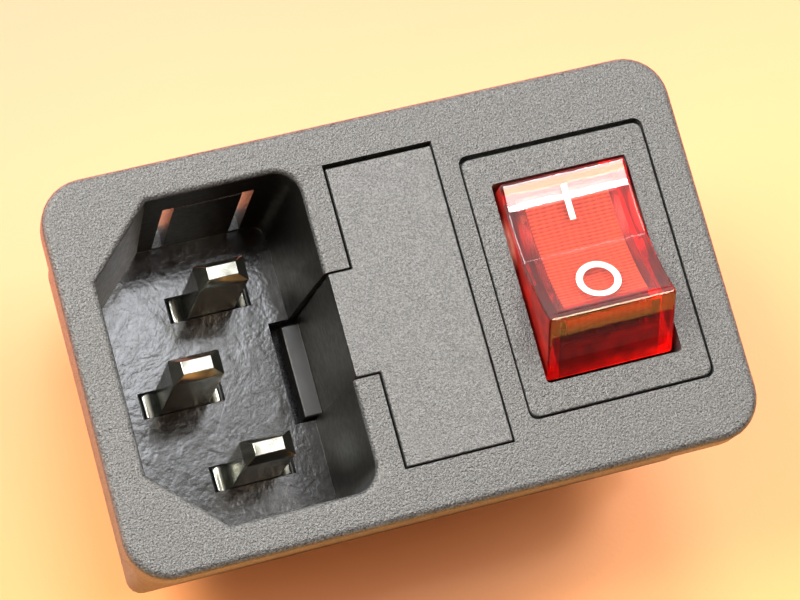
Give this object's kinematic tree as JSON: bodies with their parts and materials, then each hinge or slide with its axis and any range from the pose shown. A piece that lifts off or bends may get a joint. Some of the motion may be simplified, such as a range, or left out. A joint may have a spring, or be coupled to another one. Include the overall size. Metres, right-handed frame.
{
  "type": "iec appliance inlet",
  "caption": "Snap-in panel power inlet with a recessed pin cup, a pull-out fuse drawer and a lit red rocker switch.",
  "frame": {"origin": "centre of the bounding box at the tips of the rear tabs, on which the part stands face up", "axes": "+X from the inlet to the switch along the flange, +Y across the flange towards the end of the rocker marked I, +Z out of the face"},
  "size_m": [0.05, 0.031, 0.0332],
  "materials": {
    "black_nylon": "fine spark-eroded grain",
    "drawer_nylon": "finer grain, slightly glossier",
    "nickel_plate": "bright nickel plate",
    "brass_sheet": "rolled sheet",
    "silver_contact": "satin",
    "spring_steel": "drawn wire",
    "clear_glass": "clear",
    "red_polycarbonate": "clear, polished",
    "orange_diffuser": "finely ribbed",
    "resistor_lacquer": "lacquered",
    "natural_nylon": "moulded"
  },
  "bodies": {
    "base": {"housing": "black_nylon", "pin_live": "nickel_plate", "pin_neutral": "nickel_plate", "pin_earth": "nickel_plate", "fuse_clip_in": "brass_sheet", "fuse_clip_out": "brass_sheet", "live_link": "brass_sheet", "switch_body": "black_nylon", "terminal_feed": "brass_sheet", "terminal_load": "brass_sheet", "terminal_lamp": "brass_sheet", "fixed_contact": "silver_contact"},
    "drawer": {"fuse_drawer": "drawer_nylon", "fuse_glass": "clear_glass", "fuse_cap_near": "nickel_plate", "fuse_cap_far": "nickel_plate", "fuse_wire": "spring_steel"},
    "rocker": {"rocker": "red_polycarbonate", "light_diffuser": "orange_diffuser", "plunger": "natural_nylon", "plunger_spring": "spring_steel", "neon_lamp": "clear_glass", "lamp_resistor": "resistor_lacquer", "lamp_lead_joint": "nickel_plate", "lamp_lead_far": "nickel_plate", "lamp_lead_near": "nickel_plate"},
    "lever": {"contact_lever": "brass_sheet", "moving_contact": "silver_contact"}
  },
  "joints": [
    {"name": "rocker_tilt", "type": "hinge", "parent": "base", "child": "rocker", "pos_m": [0.01459, -0.00008, 0.0261], "axis": [1, 0, 0], "range_deg": [0, 33.4]},
    {"name": "lever_rock", "type": "hinge", "parent": "base", "child": "lever", "pos_m": [0.01459, -0.00008, 0.01948], "axis": [1, 0, 0], "range_deg": [-14, 0]},
    {"name": "drawer_slide", "type": "slide", "parent": "base", "child": "drawer", "axis": [0, 0, 1], "range_m": [0, 0.018]}
  ],
  "couplings": [
    {"joint": "lever_rock", "follows": "rocker_tilt", "ratio": -0.419}
  ]
}
